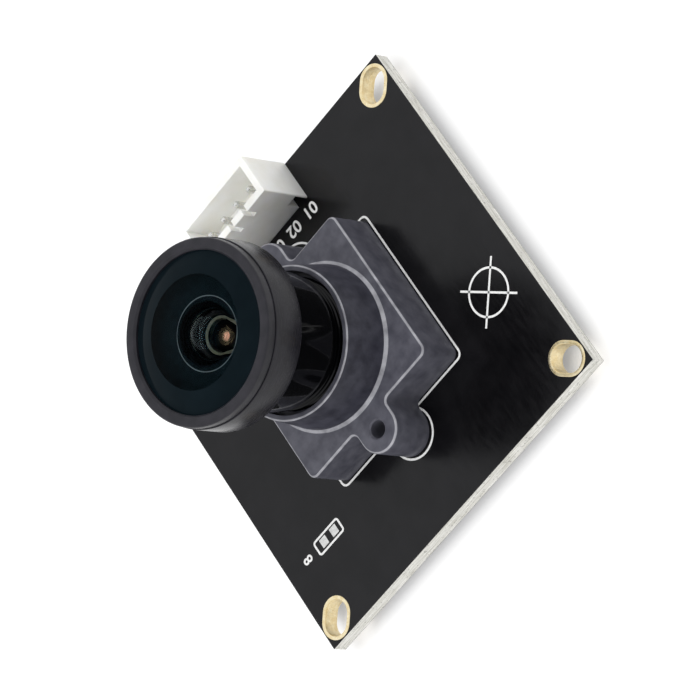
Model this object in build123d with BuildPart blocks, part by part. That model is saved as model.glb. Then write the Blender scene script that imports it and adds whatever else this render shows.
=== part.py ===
from build123d import *
import os
from math import copysign, hypot, sqrt

# Camera module: a square circuit board, a plastic lens holder with two screw ears,
# and a wide-angle lens that screws into the holder's collar to focus.
#
# Frame, in millimetres: the origin is the centre of the four corner slots on the
# board's back face. +Z runs along the lens axis towards the scene, and the cable
# header stands at the edge on the -Y side.

# Circuit board
board_thickness = 1.6
slot_margin = 2.0
slot_width = 2.5
slot_length = 3.35
plating_wall = 0.35
plating_rise = 0.05

# Lens holder
holder_margin = 1.05
holder_corner = 0.8
holder_edge_bevel = 0.2
holder_block_height = 4.6
holder_wall = 2.0
ear_offset = 1.5
ear_radius = 2.2
ear_root_round = 0.6
ear_hole_diameter = 1.6
collar_height = 9.3
collar_wall = 0.95
collar_taper = 0.5
collar_foot_bevel = 0.3
collar_rim_bevel = 0.12
collar_mouth_step = 0.4
collar_mouth_depth = 1.0
sensor_room_height = 2.8
sensor_room_corner = 1.0
filter_shelf = 0.6
filter_lip = 0.5

# Holder screws, put in from the back of the board
screw_diameter = 1.9
screw_length = 4.0
screw_head_diameter = 3.8
screw_head_height = 1.5
screw_head_bevel = 0.5
screw_tip_chamfer = 0.3
screw_cross_length = 1.8
screw_cross_width = 0.4
screw_cross_depth = 0.8
screw_board_clearance = 0.15
screw_bore_clearance = 0.02
screw_tip_room = 0.2

# Image sensor and infrared filter
sensor_length = 8.6
sensor_width = 8.0
sensor_height = 1.2
sensor_rim = 0.6
sensor_ledge = 0.4
sensor_floor = 0.3
sensor_glass_thickness = 0.4
sensor_glass_clearance = 0.05
die_end_gap = 0.4
die_side_gap = 0.8
die_thickness = 0.3
filter_corner_clearance = 0.35
filter_thickness = 0.3

# Lens barrel
thread_diameter = 12.0
thread_clearance = 0.05
thread_length = 5.7
thread_chamfer = 0.3
focus_gap = 1.0
tail_length = 12.2
neck_step = 0.3
neck_chamfer = 0.12
head_overhang = 2.4
head_length = 3.5
head_wall = 0.9
head_back_bevel = 0.3
head_root_bevel = 0.25
tail_wall = 1.45
neck_wall = 1.2
cone_wall = 0.85
shoulder_lip = 1.1
shoulder_thickness = 0.6

# Rings in the barrel
front_ring_setback = 0.1
front_ring_thickness = 1.0
front_ring_skirt_step = 0.45
front_ring_skirt_depth = 0.9
front_ring_lip = 0.25
front_ring_lip_thickness = 0.45
front_ring_bevel = 0.2
front_ring_chamfer = 0.12
inner_ring_length = 0.8
inner_ring_lip = 1.1
inner_ring_bevel = 0.5
front_spacer_length = 1.1
front_spacer_lip = 0.95
rear_spacer_length = 1.4
rear_retainer_length = 0.9
rear_retainer_lip = 1.05
rear_retainer_inset = 0.25
aperture_diameter = 1.9
aperture_thickness = 0.15
lens_fit_clearance = 0.05
aperture_fit_clearance = 0.08
cement_gap = 0.02

# Glass elements: thickness at the edge, width of the flat rim, and rise of each face
front_glass_edge = 2.4
front_glass_front_flat = 0.35
front_glass_front_rise = 1.3
front_glass_back_flat = 0.1
front_glass_back_rise = 2.0
second_glass_edge = 1.2
second_glass_front_rise = 0.5
second_glass_back_flat = 0.4
second_glass_back_rise = 0.6
third_glass_edge = 1.2
third_glass_back_rise = 0.6
pair_front_edge = 1.6
pair_front_rise = 0.4
pair_joint_rise = 0.6
pair_back_edge = 1.0
small_glass_flat = 0.6

# Cable header
pin_count = 4
pin_pitch = 2.0
pin_side = 0.5
pin_tail = 1.2
pin_recess = 1.0
pin_tip_chamfer = 0.12
pin_hole_diameter = 0.9
header_margin = 1.95
header_depth = 4.5
header_height = 6.0
header_gap = 2.5
header_overhang = 0.2
header_wall = 0.7
header_floor = 2.0
header_corner = 0.15
header_notch_width = 0.5
header_notch_depth = 1.3
header_foot_length = 1.2
header_foot_height = 1.6
header_foot_depth = 1.2
solder_foot_diameter = 1.7
solder_tip_diameter = 0.8
solder_height = 0.8

# Empty part place on the front of the board
pad_length = 0.85
pad_width = 0.9
pad_thickness = 0.05
pad_pitch = 1.5
pads_x = 12.9
pads_y = 10.8

# Moulded chips with gull-wing leads on the back of the board
chip_standoff = 0.1
chip_draft = 8.0
chip_dimple_diameter = 0.6
chip_dimple_depth = 0.1
chip_dimple_margin = 0.9
lead_thickness = 0.15
controller_side = 7.0
controller_height = 1.4
controller_lead_pitch = 0.5
controller_lead_count = 12
controller_lead_width = 0.22
controller_lead_reach = 1.0
controller_foot = 0.6
flash_y = 5.5
flash_width = 3.9
flash_length = 4.9
flash_height = 1.4
flash_lead_pitch = 1.27
flash_lead_count = 4
flash_lead_width = 0.42
flash_lead_reach = 1.05
flash_foot = 0.6
regulator_y = -6.5
regulator_pitch = 5.0
regulator_width = 1.6
regulator_length = 2.9
regulator_height = 1.1
regulator_lead_pitch = 0.95
regulator_lead_width = 0.4
regulator_lead_reach = 0.6
regulator_foot = 0.35

# Crystal and power inductor
crystal_y = 3.5
crystal_length = 5.0
crystal_width = 3.2
crystal_base = 0.4
crystal_lid = 0.6
crystal_lid_margin = 0.25
crystal_corner = 0.5
inductor_y = -5.0
inductor_side = 4.0
inductor_height = 1.5
inductor_flange = 0.35
inductor_waist_diameter = 3.0
inductor_winding_diameter = 3.7
inductor_corner = 0.6

# Small chip parts: body length between the caps, width, heights, cap length, and how
# many stand in a long row, beside the regulators and beside the inductor
small_body_length = 1.0
small_width = 0.8
capacitor_height = 0.8
resistor_height = 0.45
cap_length = 0.3
cap_growth = 0.03
row_count = 5
regulator_count = 2
inductor_capacitor_count = 2

# Clear spaces between the parts on the back of the board
small_pitch = 2.0
edge_row_pitch = 3.2
controller_row_gap = 1.3
screw_row_gap = 0.7
screw_edge_row_gap = 1.1
chip_column_gap = 0.6
regulator_capacitor_gap = 1.8
inductor_capacitor_gap = 1.6

# Heights along the lens axis, from the board outwards
board_front = board_thickness
holder_top = board_front + holder_block_height
collar_top = board_front + collar_height
filter_seat = board_front + sensor_room_height + filter_shelf
filter_top = filter_seat + filter_thickness
barrel_end = filter_top + focus_gap
neck_start = barrel_end + thread_length
head_back = barrel_end + tail_length
head_front = head_back + head_length
front_ring_face = head_front + front_ring_thickness
rear_retainer_back = barrel_end + rear_retainer_inset
pair_back = rear_retainer_back + rear_retainer_length
pair_middle = pair_back + pair_back_edge
rear_spacer_back = pair_middle + pair_front_edge
third_glass_back = rear_spacer_back + rear_spacer_length
aperture_back = third_glass_back + third_glass_edge
front_spacer_back = aperture_back + aperture_thickness
shoulder_back = front_spacer_back + front_spacer_length
second_glass_back = shoulder_back + shoulder_thickness
inner_ring_back = second_glass_back + second_glass_edge
inner_ring_front = inner_ring_back + inner_ring_length
front_glass_front = front_ring_face - front_ring_lip_thickness
front_glass_back = front_glass_front - front_glass_edge
skirt_seat = head_front - front_ring_skirt_depth

# Radii of the round fits, from the thread outwards and inwards
bore_radius = thread_diameter / 2
thread_radius = bore_radius - thread_clearance
collar_rim_radius = bore_radius + collar_wall
collar_foot_radius = collar_rim_radius + collar_taper
collar_mouth_radius = bore_radius + collar_mouth_step
neck_radius = thread_radius + neck_step
head_radius = bore_radius + head_overhang
lens_bore_radius = thread_radius - tail_wall
shoulder_radius = lens_bore_radius - shoulder_lip
small_glass_radius = lens_bore_radius - lens_fit_clearance
small_glass_rim = small_glass_radius - small_glass_flat
inner_ring_pocket_radius = neck_radius - neck_wall
inner_ring_radius = inner_ring_pocket_radius - lens_fit_clearance
cone_mouth_radius = neck_radius - cone_wall
front_pocket_radius = head_radius - head_wall
front_glass_radius = front_pocket_radius - lens_fit_clearance
skirt_pocket_radius = front_pocket_radius + front_ring_skirt_step
skirt_radius = skirt_pocket_radius - lens_fit_clearance
front_ring_radius = head_radius - front_ring_setback
front_ring_opening_radius = front_glass_radius - front_ring_lip
inner_ring_opening_radius = inner_ring_radius - inner_ring_lip
filter_side = (bore_radius - filter_corner_clearance) * sqrt(2)

# The holder's block and ears around the collar, the header beside an ear, and the
# board around them all
holder_side = 2 * (collar_foot_radius + holder_margin)
ear_spacing = holder_side + 2 * ear_offset
header_length = (pin_count - 1) * pin_pitch + 2 * header_margin
header_y = -(ear_spacing / 2 + ear_radius + header_gap + header_depth / 2)
board_side = 2 * (header_depth / 2 - header_y - header_overhang)
slot_spacing = board_side - 2 * slot_margin
slot_centre_radius = hypot(slot_spacing / 2, slot_spacing / 2)
header_top = board_front + header_height
pin_length = pin_tail + header_top - pin_recess

# The sensor's tray and the die that lies in it
tray_length = sensor_length - 2 * (sensor_rim + sensor_ledge)
tray_width = sensor_width - 2 * (sensor_rim + sensor_ledge)
die_length = tray_length - 2 * die_end_gap
die_width = tray_width - 2 * die_side_gap

# Places on the back of the board, from the controller chip and the screws outwards
small_length = small_body_length + 2 * cap_length
screw_head_radius = screw_head_diameter / 2
column_x = controller_side / 2 + controller_lead_reach + controller_row_gap + small_length / 2
row_y = ear_spacing / 2 - screw_head_radius - screw_row_gap - small_length / 2
edge_row_y = ear_spacing / 2 + screw_head_radius + screw_edge_row_gap + small_width / 2
chip_side_x = column_x + small_length / 2 + chip_column_gap
flash_x = chip_side_x + flash_width / 2 + flash_lead_reach
inductor_x = flash_x
crystal_x = -chip_side_x - crystal_length / 2
regulator_x = crystal_x
regulator_side = regulator_width / 2 + regulator_lead_reach
regulator_row_x = regulator_x - regulator_side - regulator_capacitor_gap - small_width / 2
inductor_end_y = inductor_y - inductor_side / 2 - inductor_capacitor_gap
inductor_row_y = inductor_end_y - small_width / 2 - small_pitch / 2

# Rows of small parts: centre x, centre y, step x, step y, count, angle of each part
capacitor_rows = [
    (0, row_y, small_pitch, 0, row_count, 90),
    (0, -row_y, small_pitch, 0, row_count, 90),
    (0, -edge_row_y, edge_row_pitch, 0, row_count, 0),
    (regulator_row_x, regulator_y, 0, regulator_pitch, regulator_count, 90),
    (inductor_x, inductor_row_y, 0, small_pitch, inductor_capacitor_count, 0),
]
resistor_rows = [
    (column_x, 0, 0, small_pitch, row_count, 0),
    (-column_x, 0, 0, small_pitch, row_count, 0),
    (0, edge_row_y, edge_row_pitch, 0, row_count, 0),
]


def circles_at(part, radius, height):
    """Round edges of a part that have this radius and lie at this height."""
    return (
        part.edges()
        .filter_by(GeomType.CIRCLE)
        .filter_by(lambda edge: abs(edge.radius - radius) < 0.001)
        .filter_by(lambda edge: abs(edge.arc_center.Z - height) < 0.001)
    )


def glass_disc(radius, back, edge):
    """Plain round glass between its two flat faces, to which the ground faces are added."""
    with BuildPart() as disc:
        with BuildSketch(Plane.XY.offset(back)):
            Circle(radius)
        extrude(amount=edge)
    return disc.part


def ground_face(rim, height, rise):
    """Cap of a ball that stands on a circle at this height and rises towards +Z or -Z."""
    ball_radius = (rim**2 + rise**2) / (2 * abs(rise))
    with BuildPart() as cap:
        with Locations((0, 0, height + rise - copysign(ball_radius, rise))):
            Sphere(ball_radius, rotation=(90, 0, 0))
        split(bisect_by=Plane.XY.offset(height), keep=Keep.TOP if rise > 0 else Keep.BOTTOM)
    return cap.part


def gull_lead(root, reach, foot, shoulder, width):
    """One bent lead that leaves a chip's side at root and stands on the board's back face."""
    tip = root + reach
    heel = tip - foot
    half = lead_thickness / 2
    with BuildPart() as lead:
        with BuildSketch(Plane.XZ):
            with BuildLine():
                Polyline(
                    (root, -shoulder + half),
                    (heel, -shoulder + half),
                    (heel, 0),
                    (tip, 0),
                    (tip, -lead_thickness),
                    (heel + lead_thickness, -lead_thickness),
                    (heel + lead_thickness, -shoulder - half),
                    (root, -shoulder - half),
                    close=True,
                )
            make_face()
        extrude(amount=width / 2, both=True)
    return lead.part


os.makedirs("parts", exist_ok=True)

# Circuit board with its slots, screw holes and pin holes
with BuildPart() as circuit_board:
    with BuildSketch(Plane.XY):
        Rectangle(board_side, board_side)
        with PolarLocations(slot_centre_radius, 4, start_angle=45):
            SlotOverall(
                slot_length + 2 * plating_wall, slot_width + 2 * plating_wall, mode=Mode.SUBTRACT
            )
        with GridLocations(0, ear_spacing, 1, 2):
            Circle(screw_diameter / 2 + screw_board_clearance, mode=Mode.SUBTRACT)
        with Locations((0, header_y)):
            with GridLocations(pin_pitch, 0, pin_count, 1):
                Circle(pin_hole_diameter / 2, mode=Mode.SUBTRACT)
    extrude(amount=board_thickness)
circuit_board.part.label = "circuit_board"
export_step(circuit_board.part, "parts/circuit_board.step")

# Gold plating of the corner slots: an eyelet in each slot, a little proud of both faces
with BuildPart() as corner_plating:
    with BuildSketch(Plane.XY.offset(-plating_rise)):
        with PolarLocations(slot_centre_radius, 4, start_angle=45):
            SlotOverall(slot_length + 2 * plating_wall, slot_width + 2 * plating_wall)
            SlotOverall(slot_length, slot_width, mode=Mode.SUBTRACT)
    extrude(amount=board_thickness + 2 * plating_rise)
corner_plating.part.label = "corner_plating"
export_step(corner_plating.part, "parts/corner_plating.step")

# Lens holder: block and ears, tapered collar, sensor room, filter shelf and lens bore
with BuildPart() as lens_holder:
    with BuildSketch(Plane.XY.offset(board_front)) as holder_outline:
        RectangleRounded(holder_side, holder_side, holder_corner)
        with GridLocations(0, ear_spacing, 1, 2):
            Circle(ear_radius)
        Rectangle(2 * ear_radius, ear_spacing)
        ear_roots = (
            holder_outline.vertices()
            .filter_by(lambda corner: abs(abs(corner.X) - ear_radius) < 0.001)
            .filter_by(lambda corner: abs(abs(corner.Y) - holder_side / 2) < 0.001)
        )
        fillet(ear_roots, radius=ear_root_round)
    extrude(amount=holder_block_height)
    chamfer(lens_holder.edges().group_by(Axis.Z)[-1], length=holder_edge_bevel)
    with BuildSketch(Plane.XZ):
        with BuildLine():
            Polyline(
                (0, holder_top),
                (collar_foot_radius, holder_top),
                (collar_rim_radius, collar_top),
                (0, collar_top),
                close=True,
            )
        make_face()
    revolve(axis=Axis.Z)
    chamfer(
        circles_at(lens_holder, collar_foot_radius, holder_top), length=collar_foot_bevel
    )
    chamfer(
        circles_at(lens_holder, collar_rim_radius, collar_top), length=collar_rim_bevel
    )
    with BuildSketch(Plane.XY.offset(board_front)):
        room_side = holder_side - 2 * holder_wall
        RectangleRounded(room_side, room_side, sensor_room_corner)
    extrude(amount=sensor_room_height, mode=Mode.SUBTRACT)
    with BuildSketch(Plane.XY.offset(board_front)):
        Circle(filter_side / 2 - filter_lip)
    extrude(amount=filter_seat - board_front, mode=Mode.SUBTRACT)
    with BuildSketch(Plane.XY.offset(filter_seat)):
        Circle(bore_radius)
    extrude(amount=collar_top - filter_seat, mode=Mode.SUBTRACT)
    with BuildSketch(Plane.XY.offset(collar_top - collar_mouth_depth)):
        Circle(collar_mouth_radius)
    extrude(amount=collar_mouth_depth, mode=Mode.SUBTRACT)
    with BuildSketch(Plane.XY.offset(board_front)):
        with GridLocations(0, ear_spacing, 1, 2):
            Circle(ear_hole_diameter / 2)
    extrude(amount=holder_block_height, mode=Mode.SUBTRACT)
    with BuildSketch(Plane.XY.offset(board_front)):
        with GridLocations(0, ear_spacing, 1, 2):
            Circle(screw_diameter / 2 + screw_bore_clearance)
    extrude(amount=screw_length - board_thickness + screw_tip_room, mode=Mode.SUBTRACT)
lens_holder.part.label = "lens_holder"
export_step(lens_holder.part, "parts/lens_holder.step")

# Two pan-head screws from the back of the board into the ears
with BuildPart() as holder_screws:
    with BuildSketch(Plane.XY.offset(-screw_head_height)):
        with GridLocations(0, ear_spacing, 1, 2):
            Circle(screw_head_radius)
    extrude(amount=screw_head_height)
    chamfer(holder_screws.edges().group_by(Axis.Z)[0], length=screw_head_bevel)
    with BuildSketch(Plane.XY):
        with GridLocations(0, ear_spacing, 1, 2):
            Circle(screw_diameter / 2)
    extrude(amount=screw_length)
    chamfer(holder_screws.edges().group_by(Axis.Z)[-1], length=screw_tip_chamfer)
    with BuildSketch(Plane.XY.offset(-screw_head_height)):
        with GridLocations(0, ear_spacing, 1, 2):
            Rectangle(screw_cross_length, screw_cross_width)
            Rectangle(screw_cross_width, screw_cross_length)
    extrude(amount=screw_cross_depth, mode=Mode.SUBTRACT)
holder_screws.part.label = "holder_screws"
export_step(holder_screws.part, "parts/holder_screws.step")

# Image sensor package: a ceramic tray with a ledge for its cover glass
with BuildPart() as sensor_package:
    with BuildSketch(Plane.XY.offset(board_front)):
        Rectangle(sensor_length, sensor_width)
    extrude(amount=sensor_height)
    with BuildSketch(Plane.XY.offset(board_front + sensor_height - sensor_glass_thickness)):
        Rectangle(sensor_length - 2 * sensor_rim, sensor_width - 2 * sensor_rim)
    extrude(amount=sensor_glass_thickness, mode=Mode.SUBTRACT)
    with BuildSketch(Plane.XY.offset(board_front + sensor_floor)):
        Rectangle(tray_length, tray_width)
    extrude(amount=sensor_height - sensor_floor, mode=Mode.SUBTRACT)
sensor_package.part.label = "sensor_package"
export_step(sensor_package.part, "parts/sensor_package.step")

# Sensor die on the floor of the tray
with BuildPart() as sensor_die:
    with BuildSketch(Plane.XY.offset(board_front + sensor_floor)):
        Rectangle(die_length, die_width)
    extrude(amount=die_thickness)
sensor_die.part.label = "sensor_die"
export_step(sensor_die.part, "parts/sensor_die.step")

# Cover glass on the tray's ledge
with BuildPart() as sensor_glass:
    with BuildSketch(Plane.XY.offset(board_front + sensor_height - sensor_glass_thickness)):
        glass_margin = 2 * (sensor_rim + sensor_glass_clearance)
        Rectangle(sensor_length - glass_margin, sensor_width - glass_margin)
    extrude(amount=sensor_glass_thickness)
sensor_glass.part.label = "sensor_glass"
export_step(sensor_glass.part, "parts/sensor_glass.step")

# Infrared filter on the shelf at the foot of the lens bore
with BuildPart() as infrared_filter:
    with BuildSketch(Plane.XY.offset(filter_seat)):
        Rectangle(filter_side, filter_side)
    extrude(amount=filter_thickness)
infrared_filter.part.label = "infrared_filter"
export_step(infrared_filter.part, "parts/infrared_filter.step")

# Lens barrel: threaded tail, neck and wide head, bored in steps for the glass
with BuildPart() as lens_barrel:
    with BuildSketch(Plane.XZ):
        with BuildLine():
            Polyline(
                (lens_bore_radius, barrel_end),
                (thread_radius - thread_chamfer, barrel_end),
                (thread_radius, barrel_end + thread_chamfer),
                (thread_radius, neck_start),
                (neck_radius, neck_start),
                (neck_radius, head_back),
                (head_radius, head_back),
                (head_radius, head_front),
                (skirt_pocket_radius, head_front),
                (skirt_pocket_radius, skirt_seat),
                (front_pocket_radius, skirt_seat),
                (front_pocket_radius, front_glass_back),
                (cone_mouth_radius, front_glass_back),
                (inner_ring_pocket_radius, inner_ring_front),
                (inner_ring_pocket_radius, inner_ring_back),
                (lens_bore_radius, inner_ring_back),
                (lens_bore_radius, second_glass_back),
                (shoulder_radius, second_glass_back),
                (shoulder_radius, shoulder_back),
                (lens_bore_radius, shoulder_back),
                close=True,
            )
        make_face()
    revolve(axis=Axis.Z)
    chamfer(circles_at(lens_barrel, head_radius, head_back), length=head_back_bevel)
    chamfer(circles_at(lens_barrel, neck_radius, head_back), length=head_root_bevel)
    chamfer(circles_at(lens_barrel, neck_radius, neck_start), length=neck_chamfer)
lens_barrel.part.label = "lens_barrel"
export_step(lens_barrel.part, "parts/lens_barrel.step")

# Front ring: its skirt screws into the head, and its lip keeps the front glass in
with BuildPart() as front_ring:
    with BuildSketch(Plane.XZ):
        with BuildLine():
            Polyline(
                (front_ring_opening_radius, front_glass_front),
                (front_pocket_radius, front_glass_front),
                (front_pocket_radius, skirt_seat),
                (skirt_radius, skirt_seat),
                (skirt_radius, head_front),
                (front_ring_radius, head_front),
                (front_ring_radius, front_ring_face),
                (front_ring_opening_radius, front_ring_face),
                close=True,
            )
        make_face()
    revolve(axis=Axis.Z)
    chamfer(circles_at(front_ring, front_ring_radius, head_front), front_ring_chamfer)
    chamfer(circles_at(front_ring, front_ring_radius, front_ring_face), front_ring_chamfer)
    chamfer(circles_at(front_ring, front_ring_opening_radius, front_ring_face), front_ring_bevel)
front_ring.part.label = "front_ring"
export_step(front_ring.part, "parts/front_ring.step")

# Front glass: a strong meniscus with a deep hollow at the back
with BuildPart() as front_glass:
    add(glass_disc(front_glass_radius, front_glass_back, front_glass_edge))
    front_rim = front_glass_radius - front_glass_front_flat
    add(ground_face(front_rim, front_glass_front, front_glass_front_rise))
    hollow_rim = cone_mouth_radius - front_glass_back_flat
    add(ground_face(hollow_rim, front_glass_back, front_glass_back_rise), mode=Mode.SUBTRACT)
front_glass.part.label = "front_glass"
export_step(front_glass.part, "parts/front_glass.step")

# Inner ring that holds the second glass, seen through the front glass
with BuildPart() as inner_ring:
    with BuildSketch(Plane.XY.offset(inner_ring_back)):
        Circle(inner_ring_radius)
        Circle(inner_ring_opening_radius, mode=Mode.SUBTRACT)
    extrude(amount=inner_ring_length)
    chamfer(circles_at(inner_ring, inner_ring_opening_radius, inner_ring_front), inner_ring_bevel)
inner_ring.part.label = "inner_ring"
export_step(inner_ring.part, "parts/inner_ring.step")

# Second glass: a small meniscus on the barrel's inner shoulder
with BuildPart() as second_glass:
    add(glass_disc(small_glass_radius, second_glass_back, second_glass_edge))
    add(ground_face(small_glass_rim, inner_ring_back, second_glass_front_rise))
    hollow_rim = shoulder_radius - second_glass_back_flat
    add(ground_face(hollow_rim, second_glass_back, second_glass_back_rise), mode=Mode.SUBTRACT)
second_glass.part.label = "second_glass"
export_step(second_glass.part, "parts/second_glass.step")

# Front spacer between the shoulder and the aperture stop
with BuildPart() as front_spacer:
    with BuildSketch(Plane.XY.offset(front_spacer_back)):
        Circle(small_glass_radius)
        Circle(small_glass_radius - front_spacer_lip, mode=Mode.SUBTRACT)
    extrude(amount=front_spacer_length)
front_spacer.part.label = "front_spacer"
export_step(front_spacer.part, "parts/front_spacer.step")

# Aperture stop: a thin black washer
with BuildPart() as aperture_stop:
    with BuildSketch(Plane.XY.offset(aperture_back)):
        Circle(lens_bore_radius - aperture_fit_clearance)
        Circle(aperture_diameter / 2, mode=Mode.SUBTRACT)
    extrude(amount=aperture_thickness)
aperture_stop.part.label = "aperture_stop"
export_step(aperture_stop.part, "parts/aperture_stop.step")

# Third glass: flat towards the stop, bulging towards the sensor
with BuildPart() as third_glass:
    add(glass_disc(small_glass_radius, third_glass_back, third_glass_edge))
    add(ground_face(small_glass_rim, third_glass_back, -third_glass_back_rise))
third_glass.part.label = "third_glass"
export_step(third_glass.part, "parts/third_glass.step")

# Rear spacer between the third glass and the cemented pair
with BuildPart() as rear_spacer:
    with BuildSketch(Plane.XY.offset(rear_spacer_back)):
        Circle(small_glass_radius)
        Circle(small_glass_rim, mode=Mode.SUBTRACT)
    extrude(amount=rear_spacer_length)
rear_spacer.part.label = "rear_spacer"
export_step(rear_spacer.part, "parts/rear_spacer.step")

# Cemented pair, front half
with BuildPart() as pair_front_glass:
    add(glass_disc(small_glass_radius, pair_middle, pair_front_edge))
    add(ground_face(small_glass_rim, rear_spacer_back, pair_front_rise))
    add(ground_face(small_glass_rim, pair_middle, cement_gap - pair_joint_rise))
pair_front_glass.part.label = "pair_front_glass"
export_step(pair_front_glass.part, "parts/pair_front_glass.step")

# Cemented pair, rear half
with BuildPart() as pair_rear_glass:
    add(glass_disc(small_glass_radius, pair_back, pair_back_edge))
    add(ground_face(small_glass_rim, pair_middle, -pair_joint_rise), mode=Mode.SUBTRACT)
pair_rear_glass.part.label = "pair_rear_glass"
export_step(pair_rear_glass.part, "parts/pair_rear_glass.step")

# Rear retainer that closes the stack of glass
with BuildPart() as rear_retainer:
    with BuildSketch(Plane.XY.offset(rear_retainer_back)):
        Circle(small_glass_radius)
        Circle(small_glass_radius - rear_retainer_lip, mode=Mode.SUBTRACT)
    extrude(amount=rear_retainer_length)
rear_retainer.part.label = "rear_retainer"
export_step(rear_retainer.part, "parts/rear_retainer.step")

# Cable header housing, with a notch between each two pins and open feet at its ends
with BuildPart() as header_housing:
    with BuildSketch(Plane.XY.offset(board_front)):
        with Locations((0, header_y)):
            RectangleRounded(header_length, header_depth, header_corner)
    extrude(amount=header_height)
    with BuildSketch(Plane.XY.offset(board_front + header_floor)):
        with Locations((0, header_y)):
            Rectangle(header_length - 2 * header_wall, header_depth - 2 * header_wall)
    extrude(amount=header_height - header_floor, mode=Mode.SUBTRACT)
    with BuildSketch(Plane.XY.offset(header_top - header_notch_depth)):
        with Locations((0, header_y + header_depth / 2)):
            with GridLocations(pin_pitch, 0, pin_count - 1, 1):
                Rectangle(header_notch_width, 2 * header_wall)
    extrude(amount=header_notch_depth, mode=Mode.SUBTRACT)
    with BuildSketch(Plane.XY.offset(board_front)):
        foot_span = header_length - 2 * header_corner - header_foot_length
        with Locations((0, header_y + header_depth / 2 - header_foot_depth / 2)):
            with GridLocations(foot_span, 0, 2, 1):
                Rectangle(header_foot_length, header_foot_depth)
    extrude(amount=header_foot_height, mode=Mode.SUBTRACT)
    with BuildSketch(Plane.XY.offset(board_front)):
        with Locations((0, header_y)):
            with GridLocations(pin_pitch, 0, pin_count, 1):
                Rectangle(pin_side, pin_side)
    extrude(amount=header_floor, mode=Mode.SUBTRACT)
header_housing.part.label = "header_housing"
export_step(header_housing.part, "parts/header_housing.step")

# Header pins, through the board
with BuildPart() as header_pins:
    with BuildSketch(Plane.XY.offset(-pin_tail)):
        with Locations((0, header_y)):
            with GridLocations(pin_pitch, 0, pin_count, 1):
                Rectangle(pin_side, pin_side)
    extrude(amount=pin_length)
    pin_tips = header_pins.edges().group_by(Axis.Z)
    chamfer(pin_tips[0] + pin_tips[-1], length=pin_tip_chamfer)
header_pins.part.label = "header_pins"
export_step(header_pins.part, "parts/header_pins.step")

# Solder joints of the header pins on the back of the board
with BuildPart() as header_solder:
    with Locations((0, header_y, 0)):
        with GridLocations(pin_pitch, 0, pin_count, 1):
            Cone(
                solder_tip_diameter / 2,
                solder_foot_diameter / 2,
                solder_height,
                align=(Align.CENTER, Align.CENTER, Align.MAX),
            )
            Box(pin_side, pin_side, 2 * solder_height, mode=Mode.SUBTRACT)
header_solder.part.label = "header_solder"
export_step(header_solder.part, "parts/header_solder.step")

# Two tinned pads of an empty part place on the front
with BuildPart() as front_pads:
    with BuildSketch(Plane.XY.offset(board_front)):
        with Locations((pads_x, pads_y)):
            with GridLocations(pad_pitch, 0, 2, 1):
                Rectangle(pad_length, pad_width)
    extrude(amount=pad_thickness)
front_pads.part.label = "front_pads"
export_step(front_pads.part, "parts/front_pads.step")

# Controller chip: body with draft on both halves and a dimple at its first lead
controller_middle = chip_standoff + controller_height / 2
with BuildPart() as controller_chip:
    for side in (1, -1):
        with BuildSketch(Plane.XY.offset(-controller_middle)):
            Rectangle(controller_side, controller_side)
        extrude(amount=side * controller_height / 2, taper=chip_draft)
    dimple_place = controller_side / 2 - chip_dimple_margin
    with BuildSketch(Plane.XY.offset(-chip_standoff - controller_height)):
        with Locations((-dimple_place, dimple_place)):
            Circle(chip_dimple_diameter / 2)
    extrude(amount=chip_dimple_depth, mode=Mode.SUBTRACT)
controller_chip.part.label = "controller_chip"
export_step(controller_chip.part, "parts/controller_chip.step")

# Controller leads on all four sides
controller_lead = gull_lead(
    controller_side / 2,
    controller_lead_reach,
    controller_foot,
    controller_middle,
    controller_lead_width,
)
with BuildPart() as controller_leads:
    for turn in (0, 90, 180, 270):
        with Locations(Location((0, 0, 0), (0, 0, turn))):
            with GridLocations(0, controller_lead_pitch, 1, controller_lead_count):
                add(controller_lead)
controller_leads.part.label = "controller_leads"
export_step(controller_leads.part, "parts/controller_leads.step")

# Flash memory chip body
flash_middle = chip_standoff + flash_height / 2
with BuildPart() as flash_chip:
    for side in (1, -1):
        with BuildSketch(Plane.XY.offset(-flash_middle)):
            with Locations((flash_x, flash_y)):
                Rectangle(flash_width, flash_length)
        extrude(amount=side * flash_height / 2, taper=chip_draft)
    with BuildSketch(Plane.XY.offset(-chip_standoff - flash_height)):
        dimple_x = flash_x + flash_width / 2 - chip_dimple_margin
        dimple_y = flash_y + flash_length / 2 - chip_dimple_margin
        with Locations((dimple_x, dimple_y)):
            Circle(chip_dimple_diameter / 2)
    extrude(amount=chip_dimple_depth, mode=Mode.SUBTRACT)
flash_chip.part.label = "flash_chip"
export_step(flash_chip.part, "parts/flash_chip.step")

# Flash memory leads on two sides
flash_lead = gull_lead(
    flash_width / 2, flash_lead_reach, flash_foot, flash_middle, flash_lead_width
)
with BuildPart() as flash_leads:
    for turn in (0, 180):
        with Locations(Location((flash_x, flash_y, 0), (0, 0, turn))):
            with GridLocations(0, flash_lead_pitch, 1, flash_lead_count):
                add(flash_lead)
flash_leads.part.label = "flash_leads"
export_step(flash_leads.part, "parts/flash_leads.step")

# Two voltage regulator bodies
regulator_middle = chip_standoff + regulator_height / 2
with BuildPart() as regulator_chips:
    for side in (1, -1):
        with BuildSketch(Plane.XY.offset(-regulator_middle)):
            with Locations((regulator_x, regulator_y)):
                with GridLocations(0, regulator_pitch, 1, regulator_count):
                    Rectangle(regulator_width, regulator_length)
        extrude(amount=side * regulator_height / 2, taper=chip_draft)
regulator_chips.part.label = "regulator_chips"
export_step(regulator_chips.part, "parts/regulator_chips.step")

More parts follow.
